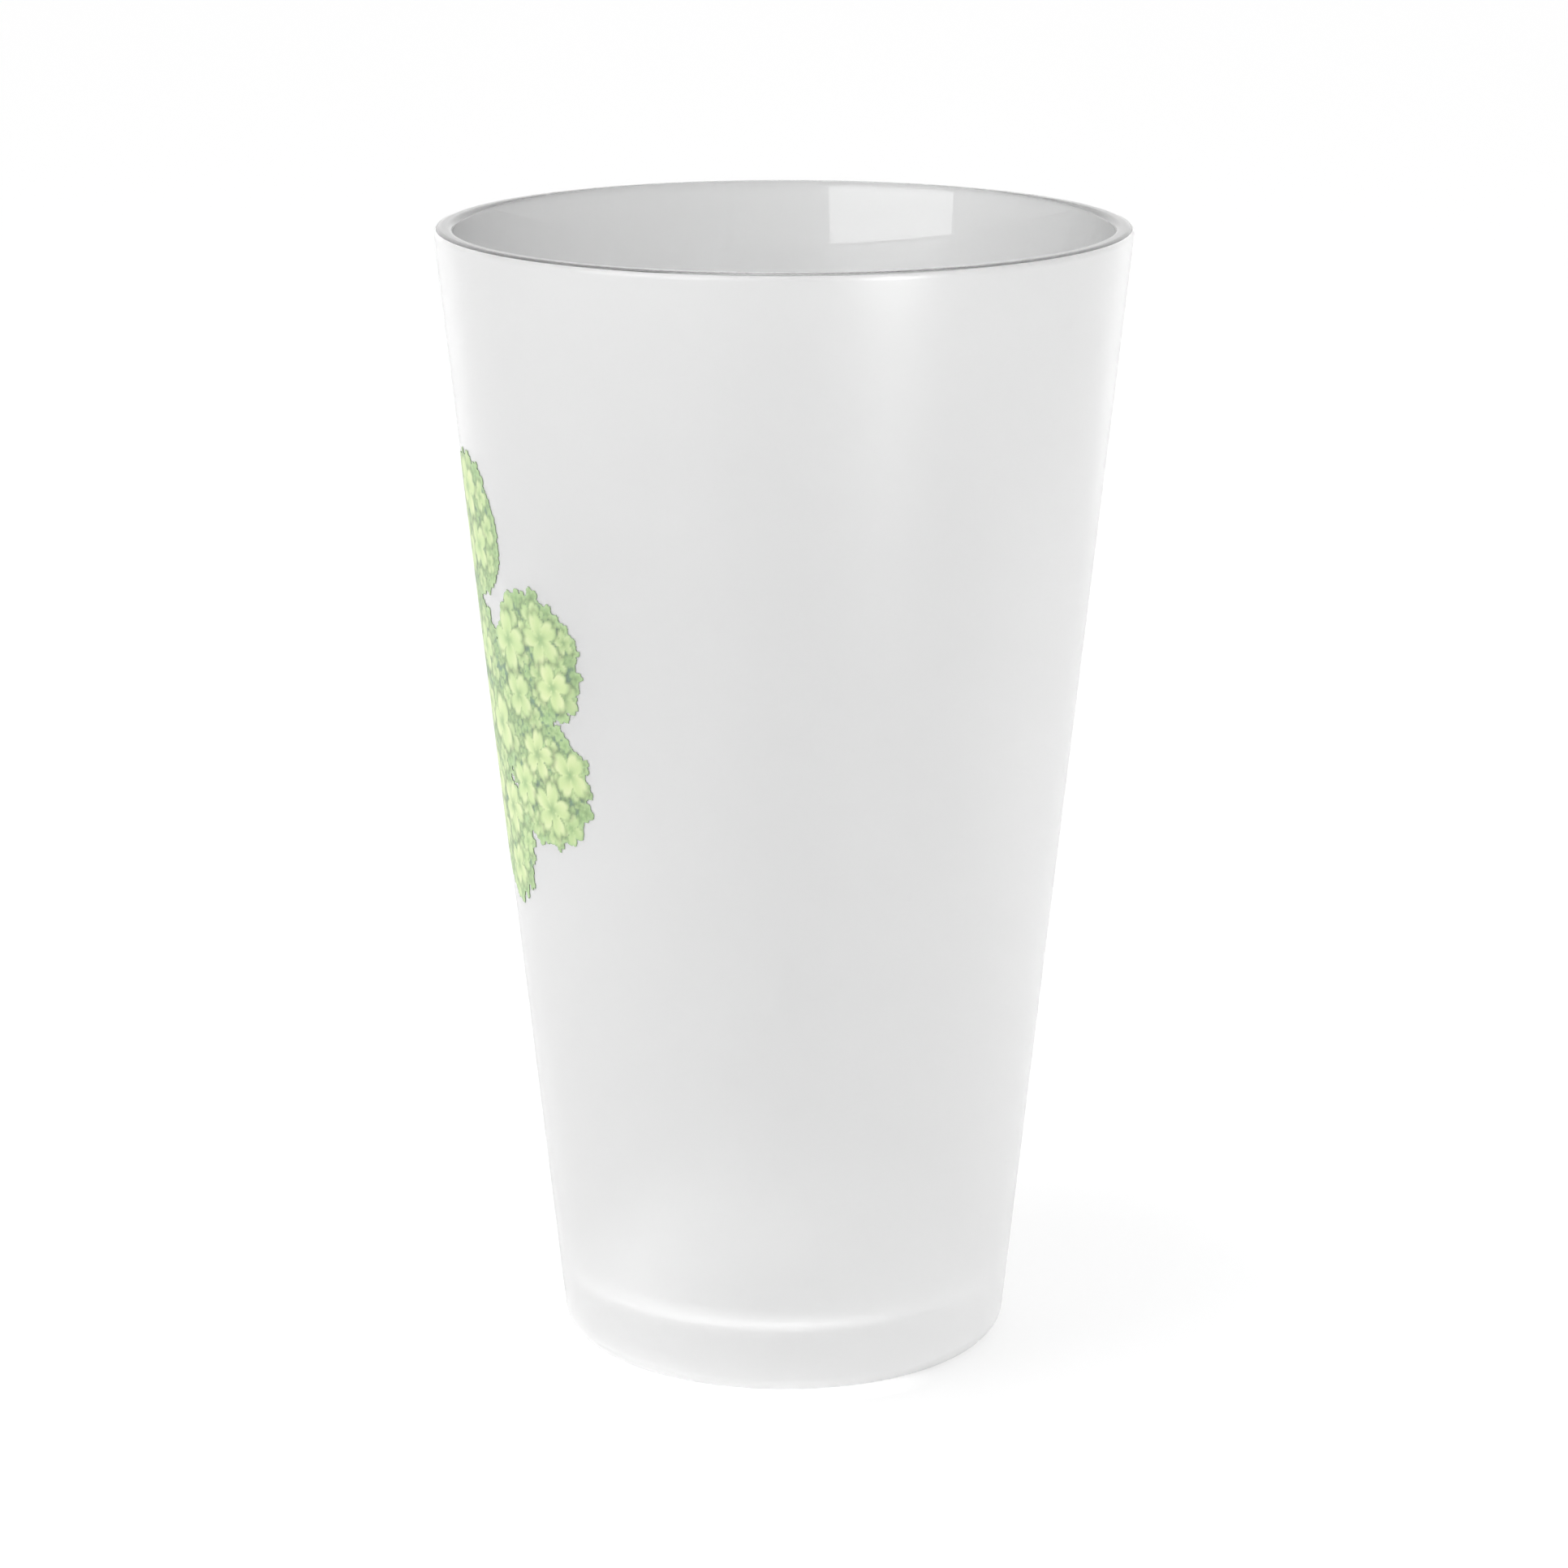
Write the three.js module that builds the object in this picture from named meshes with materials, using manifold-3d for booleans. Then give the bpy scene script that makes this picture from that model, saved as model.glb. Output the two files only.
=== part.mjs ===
// Tapered pint glass with a frosted outside and a printed clover.
// Millimetres, +Z up, the foot stands on z = 0 and the artwork faces -Y.
import * as THREE from 'three';
import { mergeVertices } from 'three/addons/utils/BufferGeometryUtils.js';
import Module from 'manifold-3d';

// glass
const glassHeight = 149.2;
const mouthRadius = 44.9; // outside wall carried up to the top
const footRadius = 29.4; // outside wall carried down to the bottom
const mouthWall = 2.4; // wall at the top
const footWall = 4.6; // wall carried down to the bottom
const lipRounding = 0.9; // both edges of the lip
const heelRounding = 2.5;
const floorThickness = 7.2;
const cornerRounding = 4.5; // inside, between floor and wall
const standWidth = 4.5; // flat ring that the glass stands on
const pushUp = 1.6; // rise of the underside at its centre

// frosted coat
const coatGap = 0.02;
const coatThickness = 0.1;
const coatHeelTurn = 60; // degrees the coat follows the heel round
const coatTopDrop = 0.8; // clear lip above the coat

// print
const printGap = 0.03;
const printThickness = 0.08;
const printCentreHeight = 89.2;
const hubRadius = 16;
// each leaf is two round lobes: how far out they sit, how far apart, and how big
const sideLeaf = { reach: 22, spread: 8, lobe: 9.3 };
const topLeaf = { reach: 23, spread: 7.6, lobe: 9.4 };
const bottomLeaf = { reach: 18.4, spread: 9, lobe: 8.4 };
const leaves = [sideLeaf, topLeaf, sideLeaf, bottomLeaf];
const frillDepth = 0.35; // small leaflets standing out along the edge
const frillCount = 90;
const bandMargin = 3; // the print is cut from a band this much taller at each end

// resolution
const turnSegments = 96;
const arcSteps = 8;
const outlineSteps = 540;

const wasm = await Module();
wasm.setup();
const { Manifold, Mesh } = wasm;

const radians = Math.PI / 180;

// a wall line x = foot + slope * z, leaning out by its own angle
function wallLine(foot, mouth) {
  const slope = (mouth - foot) / glassHeight;
  return { foot, slope, lean: Math.atan(slope) };
}

const outerWall = wallLine(footRadius, mouthRadius);
const innerWall = wallLine(footRadius - footWall, mouthRadius - mouthWall);

function wallRadius(line, z) {
  return line.foot + line.slope * z;
}

// centre of a circle that touches a wall line from inside (side -1) or outside (side 1)
function tangentCentre(line, z, radius, side) {
  const x = line.foot + (Math.sin(line.lean) * z + side * radius) / Math.cos(line.lean);
  return new THREE.Vector2(x, z);
}

function arcPoints(centre, radius, from, to, steps = arcSteps) {
  const points = [];
  for (let i = 0; i <= steps; i += 1) {
    const angle = from + ((to - from) * i) / steps;
    const x = centre.x + radius * Math.cos(angle);
    const y = centre.y + radius * Math.sin(angle);
    points.push(new THREE.Vector2(x, y));
  }
  return points;
}

const quarter = Math.PI / 2;
const heelCentre = tangentCentre(outerWall, heelRounding, heelRounding, -1);
const standInner = heelCentre.x - standWidth;

// underside: a shallow dome from the stand ring to the axis
function domePoints() {
  const radius = (standInner ** 2 + pushUp ** 2) / (2 * pushUp);
  const half = Math.asin(standInner / radius);
  const centre = new THREE.Vector2(0, pushUp - radius);
  const points = arcPoints(centre, radius, quarter, quarter - half);
  points[0].x = 0;
  points[points.length - 1].y = 0;
  return points;
}

function glassProfile() {
  const lipZ = glassHeight - lipRounding;
  const lipOuter = tangentCentre(outerWall, lipZ, lipRounding, -1);
  const lipInner = tangentCentre(innerWall, lipZ, lipRounding, 1);
  const cornerZ = floorThickness + cornerRounding;
  const corner = tangentCentre(innerWall, cornerZ, cornerRounding, -1);
  return [
    ...domePoints(),
    ...arcPoints(heelCentre, heelRounding, -quarter, -outerWall.lean),
    ...arcPoints(lipOuter, lipRounding, -outerWall.lean, quarter),
    ...arcPoints(lipInner, lipRounding, quarter, Math.PI - innerWall.lean),
    ...arcPoints(corner, cornerRounding, -innerWall.lean, -quarter),
    new THREE.Vector2(0, floorThickness),
  ];
}

// one face of the coat, top to heel, standing off the glass by the given distance
function coatFace(offset) {
  const turn = -coatHeelTurn * radians;
  const topZ = glassHeight - coatTopDrop;
  const topX = wallRadius(outerWall, topZ) + offset / Math.cos(outerWall.lean);
  const heel = arcPoints(heelCentre, heelRounding + offset, -outerWall.lean, turn);
  return [new THREE.Vector2(topX, topZ), ...heel];
}

function coatProfile() {
  const inner = coatFace(coatGap);
  const outer = coatFace(coatGap + coatThickness);
  return [...inner, ...outer.reverse(), inner[0].clone()];
}

// a band that covers the whole height of the print
function bandProfile() {
  const spans = leaves.map((leaf) => leaf.reach + leaf.lobe + frillDepth);
  const reach = bandMargin + Math.max(...spans);
  const near = coatGap + coatThickness + printGap;
  const face = (z, offset) => {
    const x = wallRadius(outerWall, z) + offset / Math.cos(outerWall.lean);
    return new THREE.Vector2(x, z);
  };
  const low = printCentreHeight - reach;
  const high = printCentreHeight + reach;
  const far = near + printThickness;
  return [face(low, far), face(high, far), face(high, near), face(low, near), face(low, far)];
}

function turned(profile) {
  const geometry = new THREE.LatheGeometry(profile, turnSegments);
  geometry.rotateX(quarter);
  return geometry;
}

// distance from the clover's centre to its edge in one direction
function cloverEdge(angle) {
  let edge = hubRadius;
  leaves.forEach((leaf, i) => {
    for (const side of [-1, 1]) {
      const centre = new THREE.Vector2(leaf.reach, side * leaf.spread);
      centre.rotateAround(new THREE.Vector2(), i * quarter);
      const along = centre.x * Math.cos(angle) + centre.y * Math.sin(angle);
      const across = centre.x * Math.sin(angle) - centre.y * Math.cos(angle);
      if (along > 0 && Math.abs(across) < leaf.lobe) {
        edge = Math.max(edge, along + Math.sqrt(leaf.lobe ** 2 - across ** 2));
      }
    }
  });
  return edge + frillDepth * Math.abs(Math.sin((frillCount * angle) / 2));
}

// the clover's outline wrapped round the wall, true to width at its centre height,
// and seen straight from the front
function cloverPrism() {
  const shape = new THREE.Shape();
  const centreRadius = wallRadius(outerWall, printCentreHeight);
  for (let i = 0; i < outlineSteps; i += 1) {
    const angle = (2 * Math.PI * i) / outlineSteps;
    const edge = cloverEdge(angle);
    const z = printCentreHeight + edge * Math.sin(angle);
    const turn = (edge * Math.cos(angle)) / centreRadius;
    const x = wallRadius(outerWall, z) * Math.sin(turn);
    if (i === 0) {
      shape.moveTo(x, z);
    } else {
      shape.lineTo(x, z);
    }
  }
  shape.closePath();
  const depth = mouthRadius;
  const geometry = new THREE.ExtrudeGeometry(shape, { depth, bevelEnabled: false });
  geometry.rotateX(quarter);
  geometry.translate(0, -depth / 4, 0);
  return geometry;
}

function toManifold(geometry) {
  const plain = geometry.clone();
  plain.deleteAttribute('normal');
  plain.deleteAttribute('uv');
  const welded = mergeVertices(plain, 1e-5);
  const vertProperties = new Float32Array(welded.attributes.position.array);
  const triVerts = new Uint32Array(welded.index.array);
  const mesh = new Mesh({ numProp: 3, vertProperties, triVerts });
  mesh.merge();
  return new Manifold(mesh);
}

function toGeometry(solid) {
  const mesh = solid.getMesh();
  const geometry = new THREE.BufferGeometry();
  const positions = new THREE.BufferAttribute(mesh.vertProperties, mesh.numProp);
  geometry.setAttribute('position', positions);
  geometry.setIndex(new THREE.BufferAttribute(mesh.triVerts, 1));
  geometry.computeVertexNormals();
  return geometry;
}

function namedMesh(name, geometry, settings) {
  const material = new THREE.MeshStandardMaterial(settings);
  material.name = name;
  const mesh = new THREE.Mesh(geometry, material);
  mesh.name = name;
  return mesh;
}

const glassBody = namedMesh('glass_body', turned(glassProfile()), {
  color: 0xe9eeee,
  roughness: 0.05,
  metalness: 0,
  transparent: true,
  opacity: 0.35,
});

const frostCoat = namedMesh('frost_coat', turned(coatProfile()), {
  color: 0xe4e6e7,
  roughness: 0.6,
  metalness: 0,
  transparent: true,
  opacity: 0.6,
});

const printBand = toManifold(turned(bandProfile()));
const printSolid = printBand.intersect(toManifold(cloverPrism()));
const cloverPrint = namedMesh('clover_print', toGeometry(printSolid), {
  color: 0x8fbf4d,
  roughness: 0.5,
  metalness: 0,
});

const pintGlass = new THREE.Group();
pintGlass.name = 'pint_glass';
pintGlass.add(glassBody, frostCoat, cloverPrint);

export default pintGlass;
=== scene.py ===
import math

import bpy
import numpy as np
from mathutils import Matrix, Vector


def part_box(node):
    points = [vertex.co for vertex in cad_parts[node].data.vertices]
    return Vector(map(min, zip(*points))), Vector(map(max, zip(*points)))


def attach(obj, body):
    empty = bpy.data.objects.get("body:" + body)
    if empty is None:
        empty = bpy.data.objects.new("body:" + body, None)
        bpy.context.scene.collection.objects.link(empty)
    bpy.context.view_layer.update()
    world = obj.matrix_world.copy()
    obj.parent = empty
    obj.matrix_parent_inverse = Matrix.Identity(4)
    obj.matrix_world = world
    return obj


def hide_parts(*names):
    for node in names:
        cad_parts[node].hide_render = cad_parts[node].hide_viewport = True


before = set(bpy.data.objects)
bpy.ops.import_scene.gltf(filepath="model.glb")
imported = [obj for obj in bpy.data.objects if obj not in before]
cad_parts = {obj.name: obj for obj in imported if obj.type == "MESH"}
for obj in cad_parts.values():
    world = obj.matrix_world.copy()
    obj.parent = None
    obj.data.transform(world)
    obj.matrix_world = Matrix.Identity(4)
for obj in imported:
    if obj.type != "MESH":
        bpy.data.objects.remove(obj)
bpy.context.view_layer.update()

mm = 0.001
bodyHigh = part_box("glass_body")[1]


cameraSetup = {
    "azimuth": 86,  # degrees round from the front of the print
    "distance": 583.5 * mm,  # along the table, from the glass's axis
    "height": 228.6 * mm,
    "tilt": 14.78,  # degrees down
    "lens": 104.4,
    "sensor": 36,
    "near": 0.05,
    "far": 50,
}


def makeCamera(setup):
    turn = math.radians(setup["azimuth"])
    data = bpy.data.cameras.new("tableCamera")
    data.lens = setup["lens"]
    data.sensor_width = setup["sensor"]
    data.clip_start = setup["near"]
    data.clip_end = setup["far"]
    camera = bpy.data.objects.new("tableCamera", data)
    bpy.context.collection.objects.link(camera)
    across = setup["distance"]
    camera.location = (across * math.sin(turn), -across * math.cos(turn), setup["height"])
    camera.rotation_euler = (math.radians(90 - setup["tilt"]), 0, turn)
    bpy.context.scene.camera = camera


makeCamera(cameraSetup)


# a socket that can be used in sums: each operator adds its Math node
class Wire:
    def __init__(self, tree, socket):
        self.tree = tree
        self.socket = socket

    def maths(self, operation, *values):
        return self.tree.add("ShaderNodeMath", {"operation": operation}, dict(enumerate(values)))

    def __add__(self, other):
        return self.maths("ADD", self, other)

    def __radd__(self, other):
        return self.maths("ADD", other, self)

    def __sub__(self, other):
        return self.maths("SUBTRACT", self, other)

    def __rsub__(self, other):
        return self.maths("SUBTRACT", other, self)

    def __mul__(self, other):
        return self.maths("MULTIPLY", self, other)

    def __rmul__(self, other):
        return self.maths("MULTIPLY", other, self)

    def __pow__(self, other):
        return self.maths("POWER", self, other)


# a node tree that is built by one method: node type, settings first, then values or links
class ShaderTree:
    def __init__(self, owner):
        owner.use_nodes = True
        self.tree = owner.node_tree
        self.tree.nodes.clear()

    def add(self, kind, settings=None, sockets=None, out=0):
        node = self.tree.nodes.new(kind)
        for key, value in (settings or {}).items():
            setattr(node, key, value)
        for key, value in (sockets or {}).items():
            socket = node.inputs[key]
            if isinstance(value, Wire):
                self.tree.links.new(value.socket, socket)
            else:
                socket.default_value = value
        return Wire(self, node.outputs[out]) if len(node.outputs) else None

    def noise(self, place, scale, detail, roughness):
        sockets = {"Vector": place, "Scale": scale, "Detail": detail, "Roughness": roughness}
        return self.add("ShaderNodeTexNoise", {"noise_dimensions": "3D"}, sockets)

    def mixColour(self, factor, first, second):
        sockets = {0: factor, 6: first, 7: second}
        return self.add("ShaderNodeMix", {"data_type": "RGBA"}, sockets, out=2)

    # value carried from the range start to end onto first to last, and held at its ends
    def mapRange(self, value, start, end, first, last, settings=None):
        sockets = {0: value, 1: start, 2: end, 3: first, 4: last}
        return self.add("ShaderNodeMapRange", settings, sockets)

    def objectPlace(self):
        return self.add("ShaderNodeTexCoord", out=3)

    def bump(self, height, distance):
        sockets = {"Height": height, "Distance": distance, "Strength": 1.0}
        return self.add("ShaderNodeBump", None, sockets)


def makeMaterial(name, build):
    material = bpy.data.materials.new(name)
    tree = ShaderTree(material)
    shader = build(tree)
    tree.add("ShaderNodeOutputMaterial", None, {"Surface": shader})
    return material


# points on a circle arc: centre + radius * (cos angle, sin angle), angle running evenly
def arcPoints(centre, radius, start, end, steps):
    angle = np.linspace(start, end, steps + 1)
    return np.stack([centre[0] + radius * np.cos(angle), centre[1] + radius * np.sin(angle)], 1)


# points evenly spaced on the straight line between two points, both ends left out
def between(first, last, steps):
    share = np.linspace(0, 1, steps + 1)[1:-1, None]
    return np.asarray(first) * (1 - share) + np.asarray(last) * share


sharpAngle = 35  # degrees between faces, from which an edge is sharp


def newPiece(nodeName, points, faces, material):
    name = nodeName + "_surface"
    mesh = bpy.data.meshes.new(name)
    mesh.from_pydata(points.tolist(), [], faces)
    mesh.polygons.foreach_set("use_smooth", np.ones(len(faces), dtype=bool))
    mesh.materials.append(material)
    mesh.update()
    mesh.set_sharp_from_angle(angle=math.radians(sharpAngle))
    piece = bpy.data.objects.new(name, mesh)
    bpy.context.collection.objects.link(piece)
    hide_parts(nodeName)
    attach(piece, "root")
    return piece


# profile (radius, height) turned round Z: point = (r cos t, r sin t, h) for t round the circle; a
# profile point on the axis becomes a single pole; the third result is each point's profile row
def turnedSurface(profile, segments, closed=False):
    radius, height = np.asarray(profile).T
    turn = np.linspace(0, 2 * np.pi, segments, endpoint=False)
    x = radius[:, None] * np.cos(turn)
    y = radius[:, None] * np.sin(turn)
    z = np.broadcast_to(height[:, None], x.shape)
    points = np.stack([x, y, z], -1).reshape(-1, 3)
    number = np.arange(len(points)).reshape(x.shape)
    number[radius < 1e-9] = number[radius < 1e-9][:, :1]
    ahead = np.roll(number, -1, axis=1)
    low, lowAhead = number, ahead
    high, highAhead = np.roll(number, -1, axis=0), np.roll(ahead, -1, axis=0)
    if not closed:
        low, lowAhead, high, highAhead = (a[:-1] for a in (low, lowAhead, high, highAhead))
    quads = np.stack([low, lowAhead, highAhead, high], -1).reshape(-1, 4)
    used, quads = np.unique(quads, return_inverse=True)
    quads = quads.reshape(-1, 4)
    atLow = quads[:, 0] == quads[:, 1]
    atHigh = quads[:, 2] == quads[:, 3]
    faces = quads[~atLow & ~atHigh].tolist()
    faces += quads[atLow][:, 1:].tolist() + quads[atHigh][:, :3].tolist()
    return points[used], faces, used // segments


# glass body
glassShape = {
    "height": bodyHigh[2],
    "mouthRadius": 44.9 * mm,  # outside wall carried up to the top
    "footRadius": 29.4 * mm,  # outside wall carried down to the bottom
    "mouthWall": 2.4 * mm,
    "footWall": 4.6 * mm,
    "lipRounding": 0.9 * mm,
    "heelRounding": 2.5 * mm,
    "floorThickness": 7.2 * mm,
    "cornerRounding": 4.5 * mm,
    "standWidth": 4.5 * mm,
    "pushUp": 1.6 * mm,
    "segments": 256,
}


# a wall line: radius = foot + slope * height
def wallLine(foot, mouth, height):
    slope = (mouth - foot) / height
    return {"foot": foot, "slope": slope, "lean": math.atan(slope)}


outerWall = wallLine(glassShape["footRadius"], glassShape["mouthRadius"], glassShape["height"])
innerWall = wallLine(
    glassShape["footRadius"] - glassShape["footWall"],
    glassShape["mouthRadius"] - glassShape["mouthWall"],
    glassShape["height"],
)


# centre of a circle that touches a wall line, at height z, inside it (side -1) or outside (1)
def tangentCentre(line, z, radius, side):
    x = line["foot"] + (math.sin(line["lean"]) * z + side * radius) / math.cos(line["lean"])
    return (x, z)


heelCentre = tangentCentre(outerWall, glassShape["heelRounding"], glassShape["heelRounding"], -1)


def glassProfile(shape):
    quarter = math.pi / 2
    lipZ = shape["height"] - shape["lipRounding"]
    cornerZ = shape["floorThickness"] + shape["cornerRounding"]
    lipOuter = tangentCentre(outerWall, lipZ, shape["lipRounding"], -1)
    lipInner = tangentCentre(innerWall, lipZ, shape["lipRounding"], 1)
    corner = tangentCentre(innerWall, cornerZ, shape["cornerRounding"], -1)
    standInner = heelCentre[0] - shape["standWidth"]
    domeRadius = (standInner**2 + shape["pushUp"] ** 2) / (2 * shape["pushUp"])
    domeHalf = math.asin(standInner / domeRadius)
    domeCentre = (0, shape["pushUp"] - domeRadius)
    dome = arcPoints(domeCentre, domeRadius, quarter, quarter - domeHalf, 14)
    dome[0, 0] = 0
    dome[-1, 1] = 0
    heel = arcPoints(heelCentre, shape["heelRounding"], -quarter, -outerWall["lean"], 14)
    outerLip = arcPoints(lipOuter, shape["lipRounding"], -outerWall["lean"], quarter, 12)
    innerLip = arcPoints(lipInner, shape["lipRounding"], quarter, math.pi - innerWall["lean"], 12)
    cornerArc = arcPoints(corner, shape["cornerRounding"], -innerWall["lean"], -quarter, 20)
    middle = (0, shape["floorThickness"])
    parts = [
        (dome, 0),
        (between(dome[-1], heel[0], 4), 0),
        (heel[:5], 0),
        (heel[5:], 1),
        (between(heel[-1], outerLip[0], 24), 1),
        (outerLip[:6], 1),
        (outerLip[6:], 0),
        (innerLip, 0),
        (between(innerLip[-1], cornerArc[0], 16), 0),
        (cornerArc, 0),
        (between(cornerArc[-1], middle, 8), 0),
        (np.array([middle]), 0),
    ]
    etched = np.concatenate([np.full(len(points), float(mark)) for points, mark in parts])
    return np.concatenate([points for points, mark in parts]), etched


clearFinish = {
    "tint": (0.985, 0.99, 0.988, 1),
    "ior": 1.52,
    "roughness": 0.02,
    "handling": 0.03,  # extra roughness where the glass has been handled
    "handlingSize": 60,
    "waveSize": 45,  # slow waves left by the mould
    "waveDepth": 0.00004,
}


def clearGlass(tree):
    place = tree.objectPlace()
    smears = tree.noise(place, clearFinish["handlingSize"], 4.0, 0.6)
    waves = tree.noise(place, clearFinish["waveSize"], 1.0, 0.4)
    sockets = {
        "Base Color": clearFinish["tint"],
        "IOR": clearFinish["ior"],
        "Transmission Weight": 1.0,
        "Roughness": smears**3 * clearFinish["handling"] + clearFinish["roughness"],
        "Normal": tree.bump(waves, clearFinish["waveDepth"]),
    }
    return tree.add("ShaderNodeBsdfPrincipled", None, sockets)


etchedFinish = {
    "tint": (0.99, 0.99, 0.99, 1),
    "ior": 1.52,
    "transmission": 1.0,
    "roughness": 0.33,
    "roughnessSpread": 0.05,
    "cloudSize": 25,
}


# the outer wall under the frost: the same glass, roughened
def etchedGlass(tree):
    clouds = tree.noise(tree.objectPlace(), etchedFinish["cloudSize"], 3.0, 0.5)
    spread = etchedFinish["roughnessSpread"]
    sockets = {
        "Base Color": etchedFinish["tint"],
        "IOR": etchedFinish["ior"],
        "Transmission Weight": etchedFinish["transmission"],
        "Roughness": (clouds - 0.5) * spread + etchedFinish["roughness"],
    }
    return tree.add("ShaderNodeBsdfPrincipled", None, sockets)


# gives the faces whose points are all marked the piece's next material
def markFaces(piece, marked, material):
    mesh = piece.data
    mesh.materials.append(material)
    corner = np.empty(len(mesh.loops), dtype=np.int32)
    start = np.empty(len(mesh.polygons), dtype=np.int32)
    mesh.loops.foreach_get("vertex_index", corner)
    mesh.polygons.foreach_get("loop_start", start)
    index = np.minimum.reduceat(marked[corner].astype(np.int32), start)
    mesh.polygons.foreach_set("material_index", index)


glassMaterial = makeMaterial("clearGlass", clearGlass)
bodyProfile, etchedRows = glassProfile(glassShape)
bodyPoints, bodyFaces, bodyRows = turnedSurface(bodyProfile, glassShape["segments"])
glassBody = newPiece("glass_body", bodyPoints, bodyFaces, glassMaterial)
markFaces(glassBody, etchedRows[bodyRows], makeMaterial("etchedGlass", etchedGlass))
print("glass body made:", len(bodyFaces), "faces")


# frosted coat
coatShape = {
    "gap": 0.02 * mm,
    "thickness": 0.1 * mm,
    "lipTurn": 40,  # degrees the coat feathers up the lip's rounding
    "heelTurn": 60,  # degrees the coat follows the heel round
    "segments": 256,
}


# one face of the coat, standing off the glass: up the lip's rounding, down the wall and round the
# heel
def coatFace(offset):
    lean = outerWall["lean"]
    lipZ = glassShape["height"] - glassShape["lipRounding"]
    lipCentre = tangentCentre(outerWall, lipZ, glassShape["lipRounding"], -1)
    lipRadius = glassShape["lipRounding"] + offset
    lip = arcPoints(lipCentre, lipRadius, math.radians(coatShape["lipTurn"]), -lean, 6)
    heelRadius = glassShape["heelRounding"] + offset
    heel = arcPoints(heelCentre, heelRadius, -lean, -math.radians(coatShape["heelTurn"]), 12)
    return np.concatenate([lip, between(lip[-1], heel[0], 24), heel])


frostFinish = {
    "tint": (0.96, 0.96, 0.96, 1),
    "ior": 1.45,
    "transmission": 0.65,
    "roughness": 0.33,
    "roughnessSpread": 0.05,
    "grainSize": 3200,
    "grainDepth": 0.000002,
    "cloudSize": 25,
}


def frostedCoat(tree):
    place = tree.objectPlace()
    grain = tree.noise(place, frostFinish["grainSize"], 2.0, 0.6)
    clouds = tree.noise(place, frostFinish["cloudSize"], 3.0, 0.5)
    spread = frostFinish["roughnessSpread"]
    sockets = {
        "Base Color": frostFinish["tint"],
        "IOR": frostFinish["ior"],
        "Transmission Weight": frostFinish["transmission"],
        "Roughness": (clouds - 0.5) * spread + (grain - 0.5) * spread + frostFinish["roughness"],
        "Normal": tree.bump(grain, frostFinish["grainDepth"]),
    }
    return tree.add("ShaderNodeBsdfPrincipled", None, sockets)


frostMaterial = makeMaterial("frostedCoat", frostedCoat)
coatOuter = coatFace(coatShape["gap"] + coatShape["thickness"])
coatInner = coatFace(coatShape["gap"])
coatProfile = np.concatenate([coatOuter[::-1], coatInner])
coatPoints, coatFaces, coatRows = turnedSurface(coatProfile, coatShape["segments"], closed=True)
frostCoat = newPiece("frost_coat", coatPoints, coatFaces, frostMaterial)
print("frosted coat made:", len(coatFaces), "faces")


# clover print
printShape = {
    "centreHeight": 89.2,  # mm, as all lengths of the artwork are
    "hub": 16.0,
    "leaves": [(22.0, 8.0, 9.3), (23.0, 7.6, 9.4), (22.0, 8.0, 9.3), (18.4, 9.0, 8.4)],
    "pitch": 0.24,
    "reach": 34,  # half the width of the grid
    "scatterReach": 36,  # half the width over which centres are tried
    # each leaf's inner part: how much wider than its lobes' centres, how fast it narrows inwards,
    # where it starts and how far past the lobes' centres it ends
    "wedge": {"wider": 2, "taper": 0.35, "start": 2, "past": 1},
    "petals": [4, 4, 3, 5],  # one of these for each small clover
    "toneSpread": 0.12,
    "leastSlope": 0.3,
    "mostMove": 0.8,  # how far an outer corner may slide, as a share of the pitch
    "baseInset": 1.0,  # how far inside the outline the dark base ends
    # painted light along the print's edge: how wide the paler band is, and how far it goes towards the
    # paler green
    "edgeWidth": 0.4,
    "edgePaintedLight": 0.7,
    "standOff": 0.15,
    "thickness": 0.08,
    "seed": 7,
    # kinds of small clover, lowest layer first: radius range, share of it kept clear round each,
    # how far inside the outline its centre stays, how bright it is
    "kinds": [
        {"radius": (0.9, 1.4), "room": 0.55, "inset": 0.6, "tries": 12000, "light": 0.15},
        {"radius": (1.6, 2.5), "room": 0.80, "inset": 1.8, "tries": 3000, "light": 0.65},
        {"radius": (3.1, 4.2), "room": 0.86, "inset": 3.4, "tries": 4000, "light": 1.0},
    ],
}

# a small clover's outline, in shares of its size
petalShape = {
    "waist": 0.14,  # how far out the edge is between two petals
    "length": 0.88,
    "fullness": 0.38,
    "dentDepth": 0.13,
    "dentWidth": 0.20,
    "patch": 1.35,  # how far out it is painted, with its shadow
    "edgeBlur": 0.6,
}

# its shading: a width is a share of the way from its centre to its edge
petalShade = {
    "shadowWidth": 0.28,
    "shadowDepth": 0.42,
    "middleWidth": 0.30,
    "middleDepth": 0.75,
    "veinWidth": 0.13,
    "veinDepth": 0.35,
    "rimWidth": 0.18,
    "rimDepth": 0.45,
    "foldDepth": 0.18,  # one half of a petal is darker than the other
    "warmStart": 0.45,
    "warmRise": 2.2,
    "warmDepth": 0.45,
    "deepening": 0.22,
}

inkColours = {
    "gap": (0.10, 0.20, 0.12),
    "leafDark": (0.23, 0.40, 0.15),
    "leafLight": (0.49, 0.59, 0.27),
    "blush": (0.64, 0.64, 0.42),
    # the paler green painted along the print's edge as painted light, lifting the shade there
    "edge": (0.36, 0.52, 0.24),
}


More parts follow.
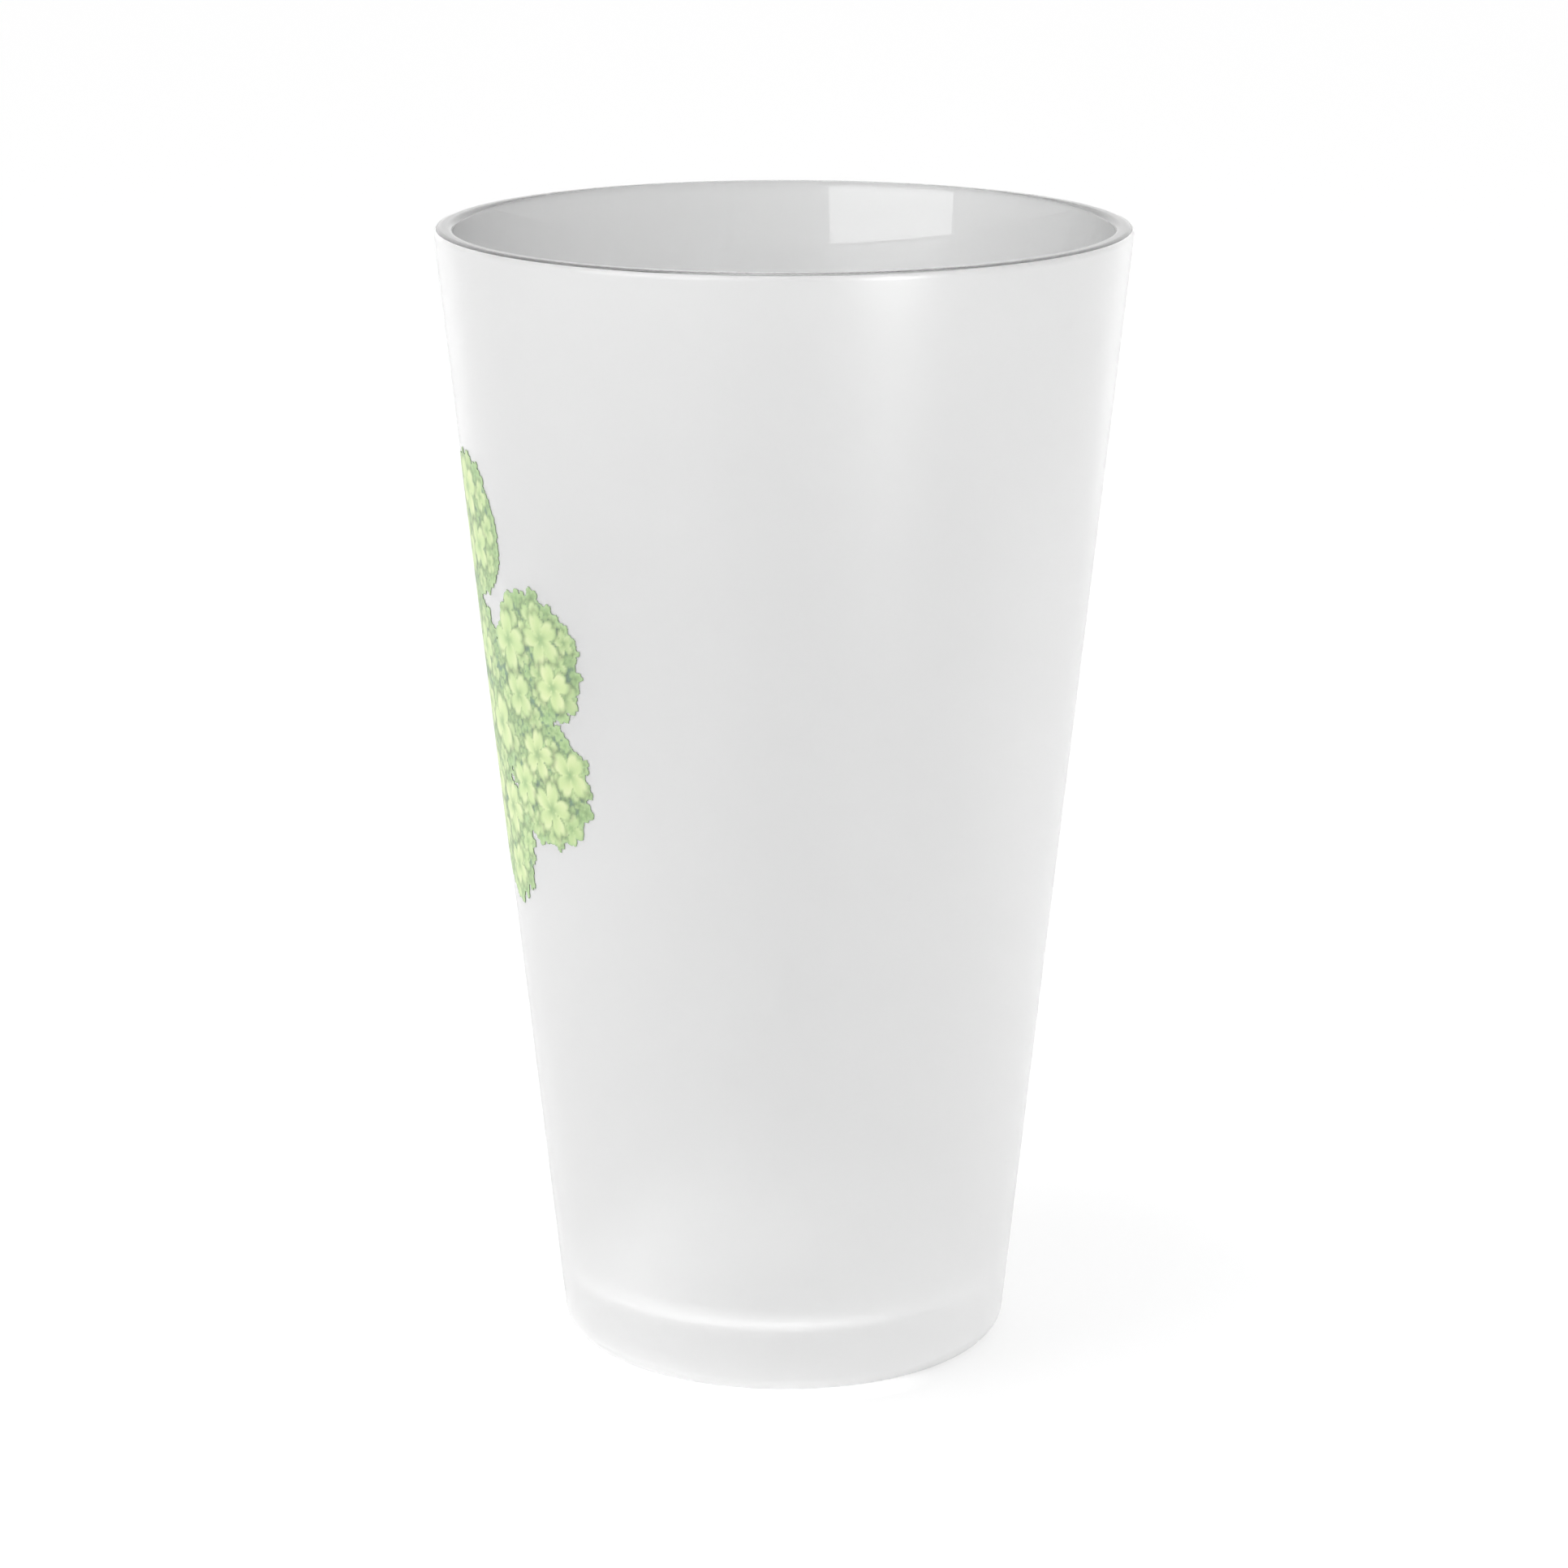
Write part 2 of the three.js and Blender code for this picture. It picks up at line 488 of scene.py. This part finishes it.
# depth inside the clover's outline, positive inside: for each lobe and the hub the circle's
# radius less the distance to its centre, and for the leaf's inner part the distance to its sides
def depthInside(x, y):
    wedge = printShape["wedge"]
    depth = printShape["hub"] - np.hypot(x, y)
    for turn, (reach, spread, lobe) in enumerate(printShape["leaves"]):
        start = turn * math.pi / 2
        u = x * math.cos(start) + y * math.sin(start)
        v = -x * math.sin(start) + y * math.cos(start)
        for side in (-1, 1):
            depth = np.maximum(depth, lobe - np.hypot(u - reach, v - side * spread))
        toSide = spread + wedge["wider"] + (u - reach) * wedge["taper"] - np.abs(v)
        toEnd = np.minimum(u - wedge["start"], reach + wedge["past"] - u)
        depth = np.maximum(depth, np.minimum(toSide, toEnd))
    return depth


# scatters centres over the outline with room round each, trying candidates one at a time
def scatter(kind, random):
    reach = printShape["scatterReach"]
    spots = np.zeros((0, 3))
    candidates = random.uniform(-reach, reach, (kind["tries"], 2))
    sizes = random.uniform(*kind["radius"], kind["tries"])
    inside = depthInside(candidates[:, 0], candidates[:, 1])
    for (x, y), size, depth in zip(candidates, sizes, inside):
        if depth < kind["inset"]:
            continue
        apart = np.hypot(spots[:, 0] - x, spots[:, 1] - y)
        if np.all(apart > kind["room"] * (size + spots[:, 2])):
            spots = np.concatenate([spots, [[x, y, size]]])
    return spots


# small clover on the grid: with n petals its edge is size * (waist + length |cos(n a / 2)|^fullness)
# at angle a, less a dent at each petal's tip, and the shade runs from its centre to its rim
def paintClover(art, cover, gridX, gridY, spot, petals, spin, light, tone):
    x, y, size = spot
    pitch = printShape["pitch"]
    reach = size * petalShape["patch"]
    rows = slice(*np.searchsorted(gridY[:, 0], (y - reach, y + reach)))
    cols = slice(*np.searchsorted(gridX[0], (x - reach, x + reach)))
    dx = gridX[rows, cols] - x
    dy = gridY[rows, cols] - y
    radius = np.hypot(dx, dy)
    turn = (np.arctan2(dy, dx) - spin) * petals / 2
    lobe = np.abs(np.cos(turn)) ** petalShape["fullness"]
    dent = petalShape["dentDepth"] * np.exp(-((np.sin(turn) / petalShape["dentWidth"]) ** 2))
    edge = size * (petalShape["waist"] + petalShape["length"] * lobe - dent)
    share = radius / edge
    inside = np.clip((edge - radius) / pitch * petalShape["edgeBlur"] + 0.5, 0, 1)[..., None]

    # a soft dark rim where this clover lies over the ones below
    width = petalShade["shadowWidth"]
    shade = np.clip(1 + width - share, 0, width)[..., None] / width
    under = art[rows, cols] * (1 - petalShade["shadowDepth"] * shade * (1 - inside))

    middle = np.exp(-((share / petalShade["middleWidth"]) ** 2))
    vein = np.exp(-((np.sin(turn) / petalShade["veinWidth"]) ** 2)) * np.clip(1 - share, 0, 1) / 2
    rim = np.clip((share - 1) / petalShade["rimWidth"] + 1, 0, 1)
    side = 0.5 + 0.5 * np.sin(2 * turn)
    dark = petalShade["middleDepth"] * middle + petalShade["veinDepth"] * vein
    dark += petalShade["rimDepth"] * rim
    bright = light * (1 - dark) * (1 - petalShade["foldDepth"] * (1 - side))
    base = np.array(inkColours["leafDark"]) * (0.80 + 0.2 * light + tone)
    top = np.array(inkColours["leafLight"])
    blush = np.array(inkColours["blush"])
    warm = np.clip((share - petalShade["warmStart"]) * petalShade["warmRise"], 0, 1)
    warm = warm * side * light * (1 - rim) * petalShade["warmDepth"]
    colour = base + (top - base) * bright[..., None]
    colour = colour + (blush - colour) * warm[..., None]
    colour = colour * (1 - petalShade["deepening"] * (middle + rim * 0.6))[..., None]
    art[rows, cols] = under + (colour - under) * inside
    cover[rows, cols] = np.maximum(cover[rows, cols], edge - radius)


def paintArtwork():
    random = np.random.default_rng(printShape["seed"])
    pitch = printShape["pitch"]
    side = np.arange(-printShape["reach"], printShape["reach"] + pitch, pitch)
    gridX, gridY = np.meshgrid(side, side)
    art = np.empty(gridX.shape + (3,))
    art[:] = inkColours["gap"]
    cover = depthInside(gridX, gridY) - printShape["baseInset"]
    count = 0
    for kind in printShape["kinds"]:
        for spot in scatter(kind, random):
            petals = random.choice(printShape["petals"])
            spin = random.uniform(0, 2 * math.pi)
            tone = random.uniform(-printShape["toneSpread"], printShape["toneSpread"])
            light = kind["light"] * random.uniform(0.8, 1.0)
            light += 0.25 * random.random() * (1 - kind["light"])
            paintClover(art, cover, gridX, gridY, spot, petals, spin, light, tone)
            count += 1
    print("artwork drawn:", count, "small clovers")
    return gridX, gridY, art, cover


# the sheet of ink: grid cells whose corners touch the artwork; corners outside it slide down the
# slope of the cover to its edge, then (s, h) is laid round the wall: with a = s / the wall's radius
# at the artwork's centre, point = (r sin a, -r cos a, h), r being the wall's radius at h
def printSurface():
    gridX, gridY, art, cover = paintArtwork()
    pitch = printShape["pitch"]
    slopeY, slopeX = np.gradient(cover, pitch)
    steep = np.maximum(slopeX**2 + slopeY**2, printShape["leastSlope"])
    move = np.clip(-cover / steep, 0, printShape["mostMove"] * pitch)
    move = np.where(cover < 0, move, 0)
    s = gridX + slopeX * move
    h = gridY + slopeY * move
    touched = cover > 0
    cells = touched[:-1, :-1] | touched[1:, :-1] | touched[:-1, 1:] | touched[1:, 1:]
    number = np.arange(cover.size).reshape(cover.shape)
    corners = [number[:-1, :-1], number[:-1, 1:], number[1:, 1:], number[1:, :-1]]
    quads = np.stack([c[cells] for c in corners], -1)
    used, quads = np.unique(quads, return_inverse=True)
    quads = quads.reshape(-1, 4)
    z = (h.ravel()[used] + printShape["centreHeight"]) * mm
    centreRadius = outerWall["foot"] + outerWall["slope"] * printShape["centreHeight"] * mm
    turn = s.ravel()[used] * mm / centreRadius
    standOff = (printShape["standOff"] + printShape["thickness"]) * mm
    radius = outerWall["foot"] + outerWall["slope"] * z + standOff / math.cos(outerWall["lean"])
    points = np.stack([radius * np.sin(turn), -radius * np.cos(turn), z], 1)
    # painted light: the ink is painted a paler green along its edge, to lift the shade that falls round
    # the print's edge
    paintedEdgeLight = np.clip(1 - cover / printShape["edgeWidth"], 0, 1)[..., None] * printShape["edgePaintedLight"]
    art = art + (np.array(inkColours["edge"]) - art) * paintedEdgeLight
    return points, quads.tolist(), art.reshape(-1, 3)[used]


inkFinish = {
    "roughness": 0.42,
    "roughnessSpread": 0.12,
    "grainSize": 2600,
    "grainDepth": 0.000008,
    "speckle": 0.10,
    "speckleColour": (0.9, 0.93, 0.8, 1),
}


def printedInk(tree):
    place = tree.objectPlace()
    ink = tree.add("ShaderNodeAttribute", {"attribute_name": "ink"})
    grain = tree.noise(place, inkFinish["grainSize"], 3.0, 0.6)
    paler = tree.mixColour(grain * inkFinish["speckle"], ink, inkFinish["speckleColour"])
    sockets = {
        "Base Color": paler,
        "Roughness": (grain - 0.5) * inkFinish["roughnessSpread"] + inkFinish["roughness"],
        "Normal": tree.bump(grain, inkFinish["grainDepth"]),
    }
    return tree.add("ShaderNodeBsdfPrincipled", None, sockets)


inkMaterial = makeMaterial("printedInk", printedInk)
inkPoints, inkFaces, inkArt = printSurface()
cloverPrint = newPiece("clover_print", inkPoints, inkFaces, inkMaterial)
inkLayer = cloverPrint.data.color_attributes.new("ink", "FLOAT_COLOR", "POINT")
inkLayer.data.foreach_set("color", np.column_stack([inkArt, np.ones(len(inkArt))]).ravel())
inkSkin = cloverPrint.modifiers.new("inkThickness", "SOLIDIFY")
inkSkin.thickness = printShape["thickness"] * mm
inkSkin.offset = -1
print("clover print made:", len(inkFaces), "faces")


# floor and light
studio = {
    "floorSize": 6.0,
    "floorColour": (0.36, 0.36, 0.36, 1),
    "floorGlow": 0.61,  # a light table: lit from below
    "ringPaintedLight": 1.12,  # a pool of light painted into the floor's glow: a ring under the foot and round it, fading out on the shadow side
    "ring": (14 * mm, 24 * mm, 29.5 * mm, 33 * mm),  # where it starts, is full, ends, is gone
    "ringFade": (0.0, 18 * mm),  # where it starts to fade on the shadow side, and is gone
    "mottleSize": 30.0,
    "mottleDepth": 0.04,
    "mottleColour": (0.3, 0.3, 0.3, 1),
    "sky": 0.90,
    "skyBehind": 1.18,
    "skyBlend": (-0.9, -0.3),  # cosines of the angle to the camera between which the sky changes
    # softboxes: "at" is azimuth in degrees, distance and height in metres
    "boxes": {
        "side": {
            "at": (45, 0.9, 0.42),
            "size": (0.85, 0.8),
            "radiance": 2.8,
            "shows": True,
            "matt": False,
        },
        "top": {"at": (25, 0.24, 1.0), "size": (0.35, 0.35), "radiance": 8.5},
        "fillLeft": {"at": (6, 0.5, 0.15), "size": (0.25, 0.3), "radiance": 1.2},
        "lowRight": {"at": (176, 0.25, 0.03), "size": (0.2, 0.05), "radiance": 9.0},
        "lowLeft": {"at": (-4, 0.25, 0.03), "size": (0.2, 0.05), "radiance": 7.0},
        "band": {
            "at": (120, 0.6, 0.15),
            "size": (0.12, 0.6),
            "radiance": 22.0,
            "matt": False,
            "coatOnly": True,
        },
        "edgeRight": {
            "at": (230, 0.5, 0.12),
            "size": (0.2, 0.5),
            "radiance": 0.55,
            "coatOnly": True,
        },
        "edgeLeft": {
            "at": (-58, 0.5, 0.12),
            "size": (0.2, 0.5),
            "radiance": 0.6,
            "coatOnly": True,
        },
    },
}


def paleFloor(tree):
    place = tree.objectPlace()
    mottle = tree.noise(place, studio["mottleSize"], 3.0, 0.5)
    fromAxis = tree.add("ShaderNodeVectorMath", {"operation": "LENGTH"}, {0: place}, out=1)
    dark, lit = studio["floorGlow"], studio["ringPaintedLight"]
    starts, full, ends, gone = studio["ring"]
    rise = tree.mapRange(fromAxis, starts, full, 0.0, 1.0)
    fall = tree.mapRange(fromAxis, ends, gone, 1.0, 0.0)
    aside = tree.add("ShaderNodeSeparateXYZ", None, {0: place}, out=1)
    side = tree.mapRange(aside, *studio["ringFade"], 1.0, 0.0)
    # painted light: the floor glows brighter in a ring under and round the foot, lighting the glass's
    # base from below
    glow = rise * fall * side * (lit - dark) + dark
    colour = tree.mixColour(mottle * studio["mottleDepth"], studio["floorColour"], studio["mottleColour"])
    sockets = {
        "Base Color": colour,
        "Roughness": 0.7,
        "Specular IOR Level": 0.1,
        "Emission Color": glow,
        "Emission Strength": 1.0,
    }
    return tree.add("ShaderNodeBsdfPrincipled", None, sockets)


def makeFloor():
    half = studio["floorSize"] / 2
    corners = [(-half, -half, 0), (half, -half, 0), (half, half, 0), (-half, half, 0)]
    mesh = bpy.data.meshes.new("studioFloor")
    mesh.from_pydata(corners, [], [(0, 1, 2, 3)])
    mesh.materials.append(makeMaterial("paleFloor", paleFloor))
    floor = bpy.data.objects.new("studioFloor", mesh)
    bpy.context.collection.objects.link(floor)


# sky: white where it is seen straight on, and for lighting an even white that is a little
# brighter behind the glass
def makeSky():
    world = bpy.data.worlds.new("studioSky")
    bpy.context.scene.world = world
    tree = ShaderTree(world)
    direction = tree.add("ShaderNodeTexCoord", out=0)
    turn = math.radians(cameraSetup["azimuth"])
    vectors = {0: direction, 1: (math.sin(turn), -math.cos(turn), 0)}
    dot = tree.add("ShaderNodeVectorMath", {"operation": "DOT_PRODUCT"}, vectors, out=1)
    smooth = {"interpolation_type": "SMOOTHSTEP"}
    light = tree.mapRange(dot, *studio["skyBlend"], studio["skyBehind"], studio["sky"], smooth)
    seen = tree.add("ShaderNodeLightPath", out=0)
    colour = tree.mixColour(seen, light, (1, 1, 1, 1))
    background = tree.add("ShaderNodeBackground", None, {"Color": colour, "Strength": 1.0})
    tree.add("ShaderNodeOutputWorld", None, {"Surface": background})


# an area light turned to the middle of the glass: "shows" lets clear glass mirror it and carry it,
# "matt" lets it light matt surfaces, and "coatOnly" keeps it off everything but the coat
def makeSoftbox(name, at, size, radiance, shows=False, matt=True, coatOnly=False):
    azimuth, across, height = at
    turn = math.radians(azimuth)
    data = bpy.data.lights.new(name, "AREA")
    data.shape = "RECTANGLE"
    data.size, data.size_y = size
    data.energy = radiance * math.pi * data.size * data.size_y
    box = bpy.data.objects.new(name, data)
    bpy.context.collection.objects.link(box)
    box.location = (across * math.sin(turn), -across * math.cos(turn), height)
    drop = math.atan2(height - glassShape["height"] / 2, across)
    box.rotation_euler = (math.pi / 2 - drop, 0, turn)
    box.visible_camera = False
    box.visible_glossy = shows or coatOnly
    box.visible_transmission = shows
    box.visible_diffuse = matt
    if coatOnly:
        lit = bpy.data.collections.new(name + "Lights")
        lit.objects.link(frostCoat)
        box.light_linking.receiver_collection = lit


makeFloor()
makeSky()
for name, setting in studio["boxes"].items():
    makeSoftbox(name, **setting)
scene = bpy.context.scene
scene.view_settings.view_transform = "Standard"
scene.cycles.max_bounces = 32  # light crosses eight faces or more on its way through both walls
scene.cycles.transmission_bounces = 32
scene.cycles.glossy_bounces = 16
print("floor and light made")
